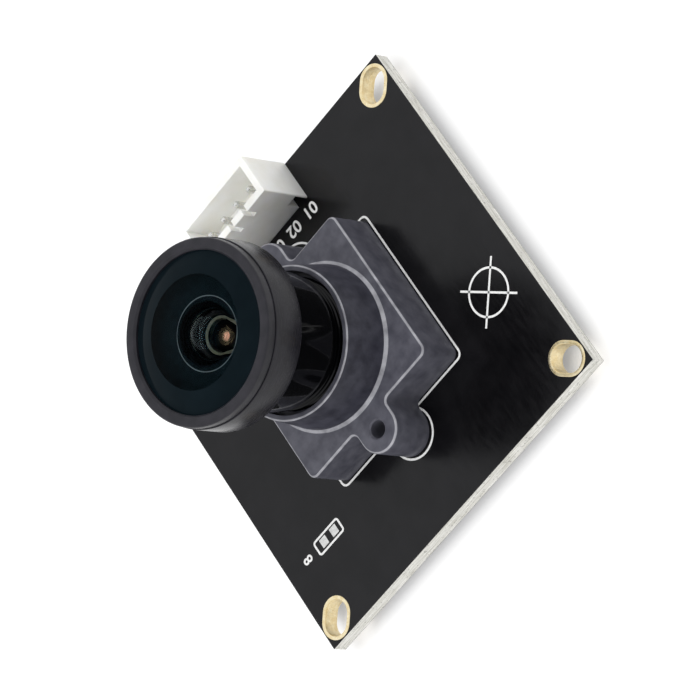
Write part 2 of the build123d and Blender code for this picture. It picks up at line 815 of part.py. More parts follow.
# Regulator leads: three on one side and two on the other
regulator_lead = gull_lead(
    regulator_width / 2,
    regulator_lead_reach,
    regulator_foot,
    regulator_middle,
    regulator_lead_width,
)
with BuildPart() as regulator_leads:
    for row in range(regulator_count):
        lead_y = regulator_y + (row - (regulator_count - 1) / 2) * regulator_pitch
        with Locations(Location((regulator_x, lead_y, 0), (0, 0, 0))):
            with GridLocations(0, 2 * regulator_lead_pitch, 1, 2):
                add(regulator_lead)
        with Locations(Location((regulator_x, lead_y, 0), (0, 0, 180))):
            with GridLocations(0, regulator_lead_pitch, 1, 3):
                add(regulator_lead)
regulator_leads.part.label = "regulator_leads"
export_step(regulator_leads.part, "parts/regulator_leads.step")

# Crystal: ceramic base with a drawn metal lid, as one sealed can
with BuildPart() as crystal:
    with BuildSketch(Plane.XY.offset(-crystal_base)):
        with Locations((crystal_x, crystal_y)):
            Rectangle(crystal_length, crystal_width)
    extrude(amount=crystal_base)
    with BuildSketch(Plane.XY.offset(-crystal_base - crystal_lid)):
        with Locations((crystal_x, crystal_y)):
            RectangleRounded(
                crystal_length - 2 * crystal_lid_margin,
                crystal_width - 2 * crystal_lid_margin,
                crystal_corner,
            )
    extrude(amount=crystal_lid)
    chamfer(crystal.edges().group_by(Axis.Z)[0], length=crystal_lid_margin / 2)
crystal.part.label = "crystal"
export_step(crystal.part, "parts/crystal.step")

# Inductor core: two square flanges on a round waist
waist_height = inductor_height - 2 * inductor_flange
with BuildPart() as inductor_core:
    for flange_height in (-inductor_height, -inductor_flange):
        with BuildSketch(Plane.XY.offset(flange_height)):
            with Locations((inductor_x, inductor_y)):
                RectangleRounded(inductor_side, inductor_side, inductor_corner)
        extrude(amount=inductor_flange)
    with BuildSketch(Plane.XY.offset(-inductor_flange)):
        with Locations((inductor_x, inductor_y)):
            Circle(inductor_waist_diameter / 2)
    extrude(amount=-waist_height)
inductor_core.part.label = "inductor_core"
export_step(inductor_core.part, "parts/inductor_core.step")

# Copper winding around the waist
with BuildPart() as inductor_winding:
    with BuildSketch(Plane.XY.offset(-inductor_flange)):
        with Locations((inductor_x, inductor_y)):
            Circle(inductor_winding_diameter / 2)
            Circle(inductor_waist_diameter / 2, mode=Mode.SUBTRACT)
    extrude(amount=-waist_height)
inductor_winding.part.label = "inductor_winding"
export_step(inductor_winding.part, "parts/inductor_winding.step")


def row_places(rows):
    """Places of all the small parts in these rows."""
    places = []
    for centre_x, centre_y, step_x, step_y, count, angle in rows:
        for index in range(count):
            shift = index - (count - 1) / 2
            place = (centre_x + shift * step_x, centre_y + shift * step_y, 0)
            places.append(Location(place, (0, 0, angle)))
    return places


on_back = (Align.CENTER, Align.CENTER, Align.MAX)

# Chip capacitor bodies
with BuildPart() as chip_capacitors:
    with Locations(*row_places(capacitor_rows)):
        Box(small_body_length, small_width, capacitor_height, align=on_back)
chip_capacitors.part.label = "chip_capacitors"
export_step(chip_capacitors.part, "parts/chip_capacitors.step")

# Chip resistor bodies
with BuildPart() as chip_resistors:
    with Locations(*row_places(resistor_rows)):
        Box(small_body_length, small_width, resistor_height, align=on_back)
chip_resistors.part.label = "chip_resistors"
export_step(chip_resistors.part, "parts/chip_resistors.step")

# Tinned caps on both ends of every chip part
cap_pitch = small_body_length + cap_length
cap_width = small_width + cap_growth
with BuildPart() as chip_end_caps:
    with Locations(*row_places(capacitor_rows)):
        with GridLocations(cap_pitch, 0, 2, 1):
            Box(cap_length, cap_width, capacitor_height + cap_growth, align=on_back)
    with Locations(*row_places(resistor_rows)):
        with GridLocations(cap_pitch, 0, 2, 1):
            Box(cap_length, cap_width, resistor_height + cap_growth, align=on_back)
chip_end_caps.part.label = "chip_end_caps"
export_step(chip_end_caps.part, "parts/chip_end_caps.step")
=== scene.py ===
# %% [markdown]
# A bare-board camera module: a black circuit board, a moulded lens holder, a
# screw-in wide-angle lens and a small white cable header. The solid model gives
# every size. Here each piece gets the surface, the rounded edges and the small
# details that the solids leave out. The order is: the frame, the camera, the
# light, some helpers, and then one step for each piece or finish.

from math import atan2, ceil, cos, hypot, pi, radians, sin, sqrt, tan

import bpy
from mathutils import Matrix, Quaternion, Vector


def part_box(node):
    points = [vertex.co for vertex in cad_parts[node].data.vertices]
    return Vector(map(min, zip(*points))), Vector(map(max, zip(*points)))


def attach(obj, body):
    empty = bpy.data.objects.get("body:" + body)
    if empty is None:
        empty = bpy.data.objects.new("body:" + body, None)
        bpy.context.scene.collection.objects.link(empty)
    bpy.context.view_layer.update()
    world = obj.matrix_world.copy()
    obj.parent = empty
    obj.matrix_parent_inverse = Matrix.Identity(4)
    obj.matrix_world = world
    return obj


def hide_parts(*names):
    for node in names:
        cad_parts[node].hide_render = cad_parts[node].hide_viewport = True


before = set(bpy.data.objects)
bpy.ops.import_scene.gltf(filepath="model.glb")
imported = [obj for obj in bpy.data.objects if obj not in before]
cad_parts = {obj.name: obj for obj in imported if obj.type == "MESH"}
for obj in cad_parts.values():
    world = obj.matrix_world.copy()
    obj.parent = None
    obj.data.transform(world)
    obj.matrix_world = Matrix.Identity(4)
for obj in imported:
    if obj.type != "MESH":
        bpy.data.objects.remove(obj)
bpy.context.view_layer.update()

# %% [markdown]
# Blender measures in metres and this object is 38 mm wide, so every size below is
# written in millimetres and multiplied once, when a mesh or a lamp is made.
# The main heights and radii are read from the solids, so nothing has to be fitted.

# %% Sizes from the frame, in millimetres
MM = 0.001


def low(node):
    """Lowest corner of a node's box, in millimetres."""
    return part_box(node)[0] / MM


def high(node):
    """Highest corner of a node's box, in millimetres."""
    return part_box(node)[1] / MM


board_front = high("circuit_board").z
board_half = high("circuit_board").x
collar_top = high("lens_holder").z
block_half = high("lens_holder").x
ear_end = high("lens_holder").y
barrel_back = low("lens_barrel").z
head_front = high("lens_barrel").z
head_radius = high("lens_barrel").x
ring_face = high("front_ring").z
ring_radius = high("front_ring").x
print("board", round(2 * board_half, 2), "collar top", round(collar_top, 2))
print("lens front", round(ring_face, 2))

# %% [markdown]
# The photograph was taken from about half a metre with a long lens, over the
# board's corner, with the camera turned almost a quarter turn about its own axis.
# A camera is easiest to place by what it looks at: a distance, an azimuth, an
# elevation and a roll. The lens's length then only sets the size in the picture.

# %% Camera
camera_aim = Vector((0.193, -0.282, 1.888))
camera_distance = 404.3
camera_azimuth = 131.39
camera_elevation = 49.61
camera_roll = radians(-83.27)
camera_lens = 230.9


def add_object(name, data):
    """Puts a new object into the scene."""
    thing = bpy.data.objects.new(name, data)
    bpy.context.scene.collection.objects.link(thing)
    return thing


def bearing(azimuth, elevation):
    """The direction from the module to a camera or a lamp, by two angles in degrees."""
    flat = cos(radians(elevation))
    return Vector((
        flat * cos(radians(azimuth)), flat * sin(radians(azimuth)), sin(radians(elevation))
    ))


towards_camera = bearing(camera_azimuth, camera_elevation)
camera = add_object("camera", bpy.data.cameras.new("camera"))
camera.data.sensor_width = 36
camera.data.lens = camera_lens
camera.data.clip_start = 10 * MM
camera.data.clip_end = 10
camera.rotation_mode = "QUATERNION"
camera.location = (camera_aim + towards_camera * camera_distance) * MM
camera.rotation_quaternion = towards_camera.to_track_quat("Z", "Y") @ Quaternion((0, 0, 1), camera_roll)
bpy.context.scene.camera = camera
print("camera at", [round(x / MM) for x in camera.location], "mm")

# %% [markdown]
# A node tree is quicker to write with two short helpers: one starts a material
# with its Principled shader, and one adds a node and fills its sockets. Textures
# read the object's own coordinates in millimetres, so a grain size in the code is
# the real grain size.

# %% Helpers for materials
def new_material(name, **sockets):
    """A material and its Principled shader, with constants set on the shader's own sockets."""
    material = bpy.data.materials.new(name)
    material.use_nodes = True
    shader = material.node_tree.nodes["Principled BSDF"]
    for socket, value in sockets.items():
        shader.inputs[socket.replace("_", " ")].default_value = value
    return material, shader


def add_node(material, kind, inputs=None, **settings):
    """Adds a node. An input is a constant or another node's output socket."""
    node = material.node_tree.nodes.new(kind)
    for key, value in settings.items():
        setattr(node, key, value)
    for key, value in (inputs or {}).items():
        if isinstance(value, bpy.types.NodeSocket):
            material.node_tree.links.new(value, node.inputs[key])
        else:
            node.inputs[key].default_value = value
    return node


def place_in_mm(material, stretch=(1, 1, 1)):
    """The point on the object in millimetres, stretched where a grain has a direction."""
    coordinates = add_node(material, "ShaderNodeTexCoord")
    scale = [factor / MM for factor in stretch]
    stretched = {"Vector": coordinates.outputs["Object"], "Scale": scale}
    return add_node(material, "ShaderNodeMapping", stretched).outputs["Vector"]


def noise(material, grain, detail=2.0, place=None):
    """Noise whose blotches are about this many millimetres across."""
    place = place or place_in_mm(material)
    return add_node(
        material, "ShaderNodeTexNoise", {"Vector": place, "Scale": 1 / grain, "Detail": detail}
    ).outputs["Fac"]


def spread(material, value, low_in, high_in, low_out, high_out):
    """Maps a value from one range to another, clamped."""
    return add_node(
        material,
        "ShaderNodeMapRange",
        {"Value": value, "From Min": low_in, "From Max": high_in, "To Min": low_out, "To Max": high_out},
    ).outputs["Result"]


def mix_colour(material, share, first, second):
    """Mixes two colours by a share between 0 and 1."""
    mixed = add_node(
        material, "ShaderNodeMix", {"Factor": share, 6: first, 7: second}, data_type="RGBA"
    )
    return mixed.outputs[2]


def mix_value(material, share, first, second):
    """Mixes two values by a share between 0 and 1."""
    mixed = add_node(
        material, "ShaderNodeMix", {"Factor": share, 2: first, 3: second}, data_type="FLOAT"
    )
    return mixed.outputs[0]


def calculate(material, operation, first, second, clamp=False):
    """One sum of two values. Each is a number or another node's output socket."""
    values = {0: first, 1: second}
    return add_node(
        material, "ShaderNodeMath", values, operation=operation, use_clamp=clamp
    ).outputs[0]


def connect(material, output, socket):
    material.node_tree.links.new(output, socket)


def vary_colour(material, shader, field, darker, lighter):
    """Lets the base colour wander between two tones."""
    tone = spread(material, field, 0.3, 0.7, 0, 1)
    connect(material, mix_colour(material, tone, darker, lighter), shader.inputs["Base Color"])


def vary_gloss(material, shader, field, smoother, rougher):
    """Lets the roughness wander between two values."""
    rough = spread(material, field, 0.3, 0.7, smoother, rougher)
    connect(material, rough, shader.inputs["Roughness"])


def add_bump(material, shader, height, depth, strength=1.0):
    """Small relief, this many millimetres deep."""
    bump = add_node(
        material, "ShaderNodeBump", {"Height": height, "Distance": depth * MM, "Strength": strength}
    )
    connect(material, bump.outputs["Normal"], shader.inputs["Normal"])


def plain_finish(name, colour, rough, grain, depth=0.01, **sockets):
    """A finish with a little variation in tone and gloss."""
    material, shader = new_material(name, **sockets)
    place = place_in_mm(material)
    darker = [channel * 0.8 for channel in colour] + [1]
    lighter = [min(1, channel * 1.15) for channel in colour] + [1]
    vary_colour(material, shader, noise(material, grain * 6, 3, place), darker, lighter)
    vary_gloss(material, shader, noise(material, grain * 2, 3, place), rough * 0.8, rough * 1.2)
    add_bump(material, shader, noise(material, grain, 2, place), depth, 0.5)
    return material


# %% [markdown]
# The module lies on a white table in a white tent, so the camera, the glass and the
# glossy surfaces all see white, and only the object's own dark parts darken its
# reflections. The light on matt surfaces is set apart from that white, lower, with three
# broad dim lamps for its direction. Clear glass reflects so seldom that a bright tent
# would leave specks on it, so the tent is dim for its mirror-sharp reflections, and
# the lamps light the module without being mirrored in it. The table glows just enough
# to read as white and still keeps a soft shadow.

# %% Floor, world and lamps
bpy.context.scene.view_settings.view_transform = "Standard"

floor_side = 4000
floor_height = low("holder_screws").z
floor_tone = (0.8, 0.8, 0.8, 1)
floor_glow = 0.25
world_tone = (0.97, 0.98, 1.0, 1)
world_strength = 0.3
mirror_strength = 0.12


def seen_directly(tree):
    """1 for rays from the camera, from mirrors and through glass, 0 for light on the object."""
    path = add_node(tree, "ShaderNodeLightPath").outputs
    bounced = calculate(tree, "MAXIMUM", path["Is Transmission Ray"], path["Is Glossy Ray"])
    return calculate(tree, "MAXIMUM", path["Is Camera Ray"], bounced)


floor_mesh = bpy.data.meshes.new("table")
half = floor_side / 2 * MM
floor_mesh.from_pydata(
    [(x * half, y * half, floor_height * MM) for x, y in ((-1, -1), (1, -1), (1, 1), (-1, 1))],
    [],
    [(0, 1, 2, 3)],
)
floor = add_object("table", floor_mesh)
floor_paint, floor_shader = new_material("white table", Roughness=0.9, Specular_IOR_Level=0.1)
floor_shader.inputs["Base Color"].default_value = floor_tone
floor_shader.inputs["Emission Color"].default_value = (1, 1, 1, 1)
glow = calculate(floor_paint, "MULTIPLY", seen_directly(floor_paint), floor_glow)
connect(floor_paint, glow, floor_shader.inputs["Emission Strength"])
floor_mesh.materials.append(floor_paint)

world = bpy.data.worlds.new("white tent")
bpy.context.scene.world = world
world.use_nodes = True
background = world.node_tree.nodes["Background"]
background.inputs["Color"].default_value = world_tone
path = add_node(world, "ShaderNodeLightPath").outputs
sharp = calculate(world, "MULTIPLY", path["Is Glossy Ray"], path["Is Singular Ray"])
mirrored = calculate(world, "SUBTRACT", sharp, path["Is Transmission Ray"], clamp=True)
tent = spread(world, seen_directly(world), 0, 1, world_strength, 1.0)
dimmer = spread(world, mirrored, 0, 1, 1.0, mirror_strength)
connect(world, calculate(world, "MULTIPLY", tent, dimmer), background.inputs["Strength"])

lamp_side = 800


def soft_lamp(name, azimuth, elevation, distance, power):
    """A square soft lamp that looks at the module from this direction."""
    direction = bearing(azimuth, elevation)
    lamp = add_object(name, bpy.data.lights.new(name, "AREA"))
    lamp.data.size = lamp_side * MM
    lamp.data.energy = power
    lamp.location = direction * distance * MM
    lamp.rotation_mode = "QUATERNION"
    lamp.rotation_quaternion = direction.to_track_quat("Z", "Y")
    lamp.visible_glossy = False


soft_lamp("tent side by the header", azimuth=-160, elevation=30, distance=700, power=2.4)
soft_lamp("tent side by the open ear", azimuth=62, elevation=35, distance=700, power=3.4)
soft_lamp("tent roof", azimuth=-49, elevation=84, distance=800, power=4.4)
print("floor at", round(floor_height, 2), "mm; lamps 3")

# %% [markdown]
# Nearly every piece here is a stack of outlines joined by strips of faces: a lathe
# turns one profile into circles, and a moulding or a plated slot stacks offset
# outlines. One skin function therefore makes them all. Corners get real rounded
# edges, because a rounded edge is what catches the light.

# %% Helpers for meshes
def skin(loops, wrap=False, close_ends=()):
    """Faces between loops of equal length. close_ends may name "first", "last" or both."""
    count = len(loops[0])
    points = [point for loop in loops for point in loop]
    faces = []
    rows = len(loops) if wrap else len(loops) - 1
    for row in range(rows):
        here = row * count
        there = (row + 1) % len(loops) * count
        for step in range(count):
            following = (step + 1) % count
            faces.append((here + step, here + following, there + following, there + step))
    if "first" in close_ends:
        faces.append(tuple(reversed(range(count))))
    if "last" in close_ends:
        faces.append(tuple(range((len(loops) - 1) * count, len(loops) * count)))
    return points, faces


def add_shape(shapes, points, faces):
    """Adds one closed shape to a pair of point and face lists."""
    start = len(shapes[0])
    shapes[0].extend(points)
    shapes[1].extend(tuple(index + start for index in face) for face in faces)


def smooth(mesh, sharp):
    """Smooth shading, but for edges sharper than this angle."""
    mesh.polygons.foreach_set("use_smooth", [True] * len(mesh.polygons))
    mesh.set_sharp_from_angle(angle=radians(sharp))


def made_mesh(thing):
    """The plain mesh that an object's modifiers or letters make."""
    bpy.context.view_layer.update()
    evaluated = thing.evaluated_get(bpy.context.evaluated_depsgraph_get())
    return bpy.data.meshes.new_from_object(evaluated)


def bake(piece, sharp):
    """Makes the result of a piece's modifiers its own mesh."""
    mesh = made_mesh(piece)
    piece.modifiers.clear()
    piece.data = mesh
    smooth(mesh, sharp)


def new_piece(name, points, faces, body, material, slot, sharp=35):
    """A mesh piece from points in millimetres, smooth but for edges sharper than this angle."""
    mesh = bpy.data.meshes.new(name)
    mesh.from_pydata([Vector(point) * MM for point in points], [], faces)
    smooth(mesh, sharp)
    mesh.materials.append(material)
    piece = add_object(name, mesh)
    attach(piece, body)
    return piece


def paint(piece, material, where):
    """Gives a further material to the faces whose centre, as radius and height, passes a test."""
    piece.data.materials.append(material)
    for polygon in piece.data.polygons:
        centre = polygon.center / MM
        if where(sqrt(centre.x * centre.x + centre.y * centre.y), centre.z):
            polygon.material_index = len(piece.data.materials) - 1


def circle(radius, height, steps, centre_y=0):
    """A loop of points around the lens axis, or around a line parallel to it."""
    angles = [2 * pi / steps * step for step in range(steps)]
    return [(radius * cos(angle), centre_y + radius * sin(angle), height) for angle in angles]


def rounded(corners, arc_steps=4, closed=True):
    """A flat path whose corners (x, y, radius) become arcs."""
    path = []
    count = len(corners)
    for index, (x, y, radius) in enumerate(corners):
        corner = Vector((x, y))
        inner = closed or 0 < index < count - 1
        if radius == 0 or not inner:
            path.append(corner)
            continue
        back = (Vector(corners[index - 1][:2]) - corner).normalized()
        onward = (Vector(corners[(index + 1) % count][:2]) - corner).normalized()
        half_angle = back.angle(onward) / 2
        centre = corner + (back + onward).normalized() * (radius / sin(half_angle))
        start = corner + back * (radius / tan(half_angle)) - centre
        sweep = start.angle_signed(corner + onward * (radius / tan(half_angle)) - centre)
        first = atan2(start.y, start.x)
        for step in range(arc_steps + 1):
            angle = first - sweep * step / arc_steps
            path.append(centre + radius * Vector((cos(angle), sin(angle))))
    return path


def turned(name, corners, material, slot):
    """A turned part of the lens: a profile of (radius, height, corner radius) spun about its axis."""
    steps = 192
    loops = [circle(point.x, point.y, steps) for point in rounded(corners)]
    points, faces = skin(loops, wrap=True)
    print(name, "faces", len(faces))
    return new_piece(name, points, faces, "lens", material, slot)


# %% [markdown]
# The board is fibreglass under black solder mask. The mask is a thin lacquer: dark,
# half matt, with the weave of the glass cloth just showing in its gloss. It stops at
# the cut edges, where the laminate is pale, layered and a little torn. One material
# does both, told apart by the height of the point, because the board is one solid.

# %% Circuit board
def board_finish():
    material, shader = new_material("solder mask on fibreglass", Specular_IOR_Level=0.28)
    place = place_in_mm(material)
    height = add_node(material, "ShaderNodeSeparateXYZ", {"Vector": place}).outputs["Z"]
    mask_inset = 0.03
    above = calculate(material, "GREATER_THAN", height, board_front - mask_inset)
    below = calculate(material, "LESS_THAN", height, mask_inset)
    face = calculate(material, "MAXIMUM", above, below)
    tone = spread(material, noise(material, 2.5, 4, place), 0.35, 0.65, 0, 1)
    mask = mix_colour(material, tone, (0.0022, 0.0021, 0.0026, 1), (0.0045, 0.0043, 0.005, 1))
    layers = noise(material, 0.35, 3, place_in_mm(material, (0.15, 0.15, 2.2)))
    tears = noise(material, 0.22, 3, place)
    fibre_tone = spread(material, layers, 0.3, 0.7, 0, 1)
    fibre = mix_colour(material, fibre_tone, (0.5, 0.49, 0.43, 1), (0.86, 0.85, 0.81, 1))
    torn = spread(material, tears, 0.6, 0.72, 0, 0.6)
    edge = mix_colour(material, torn, fibre, (0.09, 0.085, 0.08, 1))
    connect(material, mix_colour(material, face, edge, mask), shader.inputs["Base Color"])
    cloth = noise(material, 0.4, 1, place_in_mm(material, (1, 0.2, 1)))
    sheen = spread(material, cloth, 0.3, 0.7, 0.17, 0.25)
    edge_rough = 0.85
    connect(material, mix_value(material, face, edge_rough, sheen), shader.inputs["Roughness"])
    grain = spread(material, noise(material, 0.16, 3, place), 0, 1, 0, 0.15)
    add_bump(material, shader, mix_value(material, face, tears, grain), 0.02, 0.5)
    return material


def dress(node, material):
    """Gives a solid that stays in view its material."""
    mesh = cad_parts[node].data
    mesh.materials.clear()
    mesh.materials.append(material)


board_mask = board_finish()
dress("circuit_board", board_mask)

# %% [markdown]
# The corner slots are plated: a thin gold lining whose lip lies on both faces. A
# slot's outline is two half circles and two straights, so a ring of such outlines,
# each set off by its own amount, gives the rounded lip. The gold is soft and pale,
# with fine brushing from handling.

# %% Gold plating of the corner slots
slot_length = 3.35
slot_width = 2.5
lip_width = 0.35
lip_round = 0.04


def gold_finish():
    material, shader = new_material("soft gold", Metallic=1.0)
    place = place_in_mm(material)
    tone = noise(material, 0.5, 3, place)
    vary_colour(material, shader, tone, (0.82, 0.66, 0.36, 1), (0.98, 0.87, 0.6, 1))
    vary_gloss(material, shader, noise(material, 0.12, 2, place), 0.24, 0.42)
    add_bump(material, shader, noise(material, 0.2, 2, place), 0.01, 0.4)
    return material


def slot_loop(centre, direction, grow, height, arc_steps=16):
    """The slot's outline around a centre, grown outwards, at one height."""
    along = Vector((cos(direction), sin(direction)))
    radius = slot_width / 2 + grow
    reach = (slot_length - slot_width) / 2
    loop = []
    for end, first in ((1, -pi / 2), (-1, pi / 2)):
        for step in range(arc_steps + 1):
            angle = direction + first + pi * step / arc_steps
            x = centre.x + end * reach * along.x + radius * cos(angle)
            y = centre.y + end * reach * along.y + radius * sin(angle)
            loop.append((x, y, height))
    return loop


def plated_slots():
    top = high("corner_plating").z
    bottom = low("corner_plating").z
    lip = rounded([
        (0, bottom, lip_round),
        (0, top, lip_round),
        (lip_width, top, lip_round),
        (lip_width, bottom, lip_round),
    ], 3)
    slant = (slot_length - slot_width) / 2 / sqrt(2)
    offset = high("corner_plating").x - slant - slot_width / 2 - lip_width
    linings = ([], [])
    for quarter in range(4):
        direction = pi / 4 + quarter * pi / 2
        centre = Vector((cos(direction), sin(direction))) * offset * sqrt(2)
        loops = [slot_loop(centre, direction, point.x, point.y) for point in lip]
        add_shape(linings, *skin(loops, wrap=True))
    return linings


gold = gold_finish()
slot_plating = new_piece("gold_slot_linings", *plated_slots(), "module", gold, "gold", sharp=50)
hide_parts("corner_plating")
print("gold_slot_linings faces", len(slot_plating.data.polygons))

# %% [markdown]
# The lens holder is one moulding: a square block with two screw ears and a tapered
# collar. Its outline is drawn once, a quarter at a time, and can be set inwards by
# any amount, so the rounded top edge is a few such outlines. All the loops share
# their angles, so the block's top can be joined straight to the collar's circles.

# %% Lens holder
holder_corner = 0.8
holder_edge = 0.28
ear_radius = 2.2
ear_root = 0.6
ear_centre = ear_end - ear_radius
block_top = 6.2
collar_foot = 7.45
collar_rim = 6.95
foot_round = 0.45
mouth_radius = 6.4
mouth_depth = 1.0
bore_radius = 6.0
filter_seat = 5.0
filter_window = 3.5
room_height = 4.4
room_half = 6.5
room_corner = 1.0
edge_steps = 4
foot_top = block_top + 0.6 * foot_round
rim_bottom = collar_top - 0.12


def spaced(start, end, steps):
    """Points from start up to, but without, end."""
    return [Vector(start).lerp(Vector(end), step / steps) for step in range(steps)]


def arc(centre, radius, first, last, steps):
    """Points on an arc, in degrees, without its last point."""
    angles = [radians(first + (last - first) * step / steps) for step in range(steps)]
    return [Vector(centre) + radius * Vector((cos(angle), sin(angle))) for angle in angles]


def block_quarter(inset):
    """The block's outline from the +X axis to the +Y axis, set inwards."""
    side = block_half - inset
    ear = ear_radius - inset
    corner = holder_corner - inset
    root = ear_root + inset
    centre = block_half - holder_corner
    root_centre = (ear_radius + ear_root, block_half + ear_root)
    outline = spaced((side, 0), (side, centre), 14)
    outline += arc((centre, centre), corner, 0, 90, 8)
    outline += spaced((centre, side), (root_centre[0], side), 10)
    outline += arc(root_centre, root, 270, 180, 6)
    outline += spaced((ear, root_centre[1]), (ear, ear_centre), 3)
    outline += arc((0, ear_centre), ear, 0, 90, 14)
    return outline


def block_loop(inset, height):
    """The whole outline at one height."""
    quarter = block_quarter(inset)
    tip = Vector((0, ear_centre + ear_radius - inset))
    path = list(quarter)
    path += [tip] + [Vector((-p.x, p.y)) for p in reversed(quarter[1:])]
    path += [Vector((-p.x, -p.y)) for p in quarter]
    path += [-tip] + [Vector((p.x, -p.y)) for p in reversed(quarter[1:])]
    return [(p.x, p.y, height) for p in path]


outline_angles = [atan2(y, x) for x, y, _ in block_loop(0, 0)]


def holder_circle(radius, height):
    """A circle whose points lie at the outline's own angles."""
    return [(radius * cos(angle), radius * sin(angle), height) for angle in outline_angles]


def rounded_square(half_side, corner, height):
    """A square with round corners, cut by rays at the outline's own angles."""
    loop = []
    centre = half_side - corner
    for angle in outline_angles:
        ray = Vector((abs(cos(angle)), abs(sin(angle))))
        reach = half_side / max(ray.x, ray.y)
        hit = ray * reach
        if min(hit.x, hit.y) > centre:
            along = ray.x * centre + ray.y * centre
            off = 2 * centre * centre - corner * corner
            reach = along + sqrt(along * along - off)
        loop.append((reach * cos(angle), reach * sin(angle), height))
    return loop


def holder_loops():
    loops = [block_loop(0, board_front), block_loop(0, block_top - holder_edge)]
    for step in range(1, edge_steps + 1):
        angle = step / edge_steps * pi / 2
        inset = holder_edge * (1 - cos(angle))
        loops.append(block_loop(inset, block_top - holder_edge * (1 - sin(angle))))
    collar_profile = rounded([
        (collar_foot + 2, block_top, 0),
        (collar_foot, block_top, foot_round),
        (collar_rim, collar_top, 0.16),
        (mouth_radius, collar_top, 0.08),
        (mouth_radius, collar_top - mouth_depth, 0),
        (bore_radius, collar_top - mouth_depth, 0),
        (bore_radius, filter_seat, 0),
        (filter_window, filter_seat, 0),
        (filter_window, room_height, 0),
    ], 5, closed=False)
    loops += [holder_circle(point.x, point.y) for point in collar_profile[1:]]
    loops.append(rounded_square(room_half, room_corner, room_height))
    loops.append(rounded_square(room_half, room_corner, board_front))
    return loops


def plastic_finish(name, darker, lighter):
    material, shader = new_material(name, Specular_IOR_Level=0.25)
    place = place_in_mm(material)
    vary_colour(material, shader, noise(material, 1.2, 4, place), darker, lighter)
    vary_gloss(material, shader, noise(material, 0.8, 4, place), 0.3, 0.42)
    add_bump(material, shader, noise(material, 0.5, 4, place), 0.02, 0.6)
    return material


def painted_highlight_edge(radius, height):
    """Where the painted highlight goes: the block's top edge, the fillet at the collar's foot and the
    collar's rim.
    """
    block_edge = block_top - 0.8 * holder_edge < height < block_top - 0.1 * holder_edge
    foot = radius > collar_rim and block_top + 0.02 < height < foot_top
    rim = radius > mouth_radius + 0.3 and height > rim_bottom
    return block_edge or foot or rim


def on_collar(radius, height):
    """Where the painted shade goes: the collar's wall, outside and inside."""
    return foot_top < height < rim_bottom


def cut(piece, cutter):
    """Cuts one closed mesh out of another for good, and deletes the cutter."""
    modifier = piece.modifiers.new("cut", "BOOLEAN")
    modifier.operation = "DIFFERENCE"
    modifier.solver = "EXACT"
    modifier.object = cutter
    bake(piece, sharp=35)
    bpy.data.objects.remove(cutter)


def new_cutter(loops):
    """A closed mesh through these loops, only there to be cut out of a piece."""
    points, faces = skin(loops, close_ends=("first", "last"))
    mesh = bpy.data.meshes.new("cutter")
    mesh.from_pydata([Vector(point) * MM for point in points], [], faces)
    return add_object("cutter", mesh)


def bore_cutter(centre_y, profile):
    """A closed turned solid on a line parallel to the lens axis."""
    return new_cutter([circle(radius, height, 48, centre_y) for radius, height in profile])


ear_hole = 0.8
screw_bore = 0.97
screw_bore_top = 4.2
hole_lip = 0.15

holder_plastic = plastic_finish(
    "moulded holder plastic", (0.058, 0.058, 0.074, 1), (0.105, 0.105, 0.127, 1)
)
# The collar's wall gets the same plastic, darker all round. This is painted shade for the wall under the
# overhanging lens head.
collar_shade_plastic = plastic_finish(
    "collar plastic with painted shade", (0.018, 0.018, 0.027, 1), (0.045, 0.045, 0.06, 1)
)
# The block's top edge, the collar's foot fillet and the collar's rim get a lighter plastic. It is a
# painted highlight for the bright lines that light draws along these rounded edges.
highlight_edge_plastic = plastic_finish("plastic edges with painted highlight", (0.2, 0.2, 0.22, 1), (0.42, 0.42, 0.45, 1))
points, faces = skin(holder_loops(), wrap=True)
holder = new_piece("moulded_lens_holder", points, faces, "module", holder_plastic, "holder_plastic")
paint(holder, highlight_edge_plastic, painted_highlight_edge)
paint(holder, collar_shade_plastic, on_collar)
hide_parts("lens_holder")
for ear_y in (-ear_centre, ear_centre):
    cut(holder, bore_cutter(ear_y, [
        (screw_bore, board_front - 0.5),
        (screw_bore, screw_bore_top),
        (ear_hole, screw_bore_top + 0.05),
        (ear_hole, block_top - hole_lip),
        (ear_hole + hole_lip, block_top),
        (ear_hole + hole_lip, block_top + 0.5),
    ]))
print("moulded_lens_holder faces", len(holder.data.polygons))

# %% [markdown]
# The lens barrel is turned from aluminium and dyed black. The tail is threaded so
# that turning it in the holder focuses the picture, the neck is polished, and the
# wide head has a satin finish. The thread is a real helix: a three-sided ridge on
# a slightly thinner tail, which shows where the lens stands out of the collar.

# %% Lens barrel
thread_radius = 5.95
thread_pitch = 0.5
thread_depth = 0.3
neck_radius = 6.25
neck_back = 12.0
head_back = 18.5
ring_lip = 0.45
glass_back = low("front_glass").z
glass_front = ring_face - ring_lip
skirt_seat = low("front_ring").z
skirt_pocket = 7.95
glass_pocket = 7.5
cone_mouth = 5.4
ring_pocket = 5.05
ring_pocket_back = low("inner_ring").z
ring_pocket_front = high("inner_ring").z
lens_bore = 4.5
shoulder = 3.4
shoulder_back = 13.9
second_back = low("second_glass").z


def barrel_finish(name, colour, smoother, rougher, ridges=0.006, **sockets):
    """Dyed aluminium with the fine rings that turning leaves."""
    material, shader = new_material(name, **sockets)
    place = place_in_mm(material)
    darker = [channel * 0.75 for channel in colour] + [1]
    lighter = [channel * 1.25 for channel in colour] + [1]
    vary_colour(material, shader, noise(material, 1.2, 4, place), darker, lighter)
    turning = noise(material, 0.12, 2, place_in_mm(material, (0.1, 0.1, 3)))
    vary_gloss(material, shader, turning, smoother, rougher)
    add_bump(material, shader, turning, ridges, 0.35)
    return material


